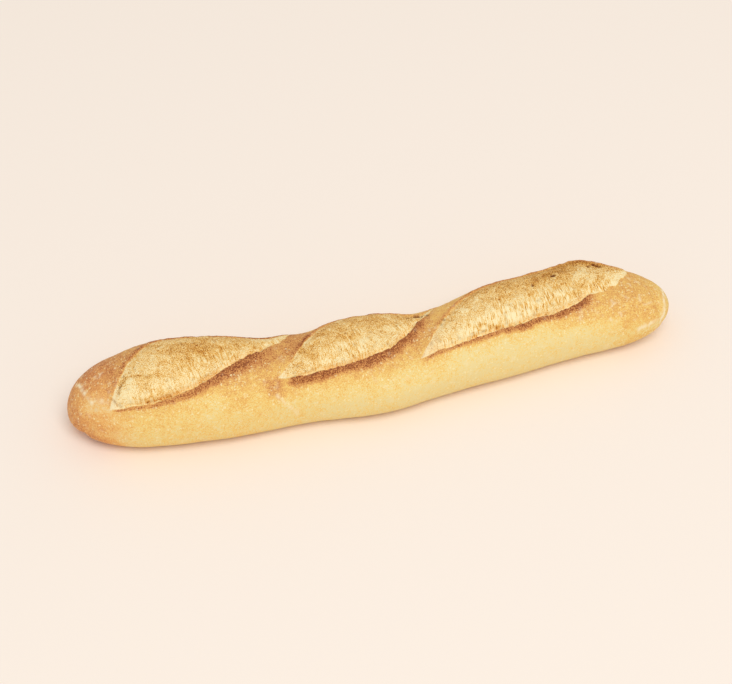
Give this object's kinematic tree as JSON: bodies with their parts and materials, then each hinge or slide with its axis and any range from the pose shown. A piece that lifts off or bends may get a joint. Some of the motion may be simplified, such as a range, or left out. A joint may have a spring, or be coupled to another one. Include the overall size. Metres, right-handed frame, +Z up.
{
  "type": "baguette",
  "caption": "Short crusty baguette: a slightly bent loaf with rounded ends, a flat base and slanting slashes with raised ears and risen crumb.",
  "frame": {"origin": "centre of the loaf's footprint box, on the surface it rests on", "axes": "+X along the loaf, +Y across it with the raised ears on the -Y side, +Z up"},
  "size_m": [0.4, 0.0794, 0.0561],
  "materials": {
    "crust": "matt golden-yellow baked crust, browned on the ears and the left end, with pale cream crumb in the slashes"
  },
  "bodies": {
    "root": {"loaf": "crust"}
  },
  "joints": []
}
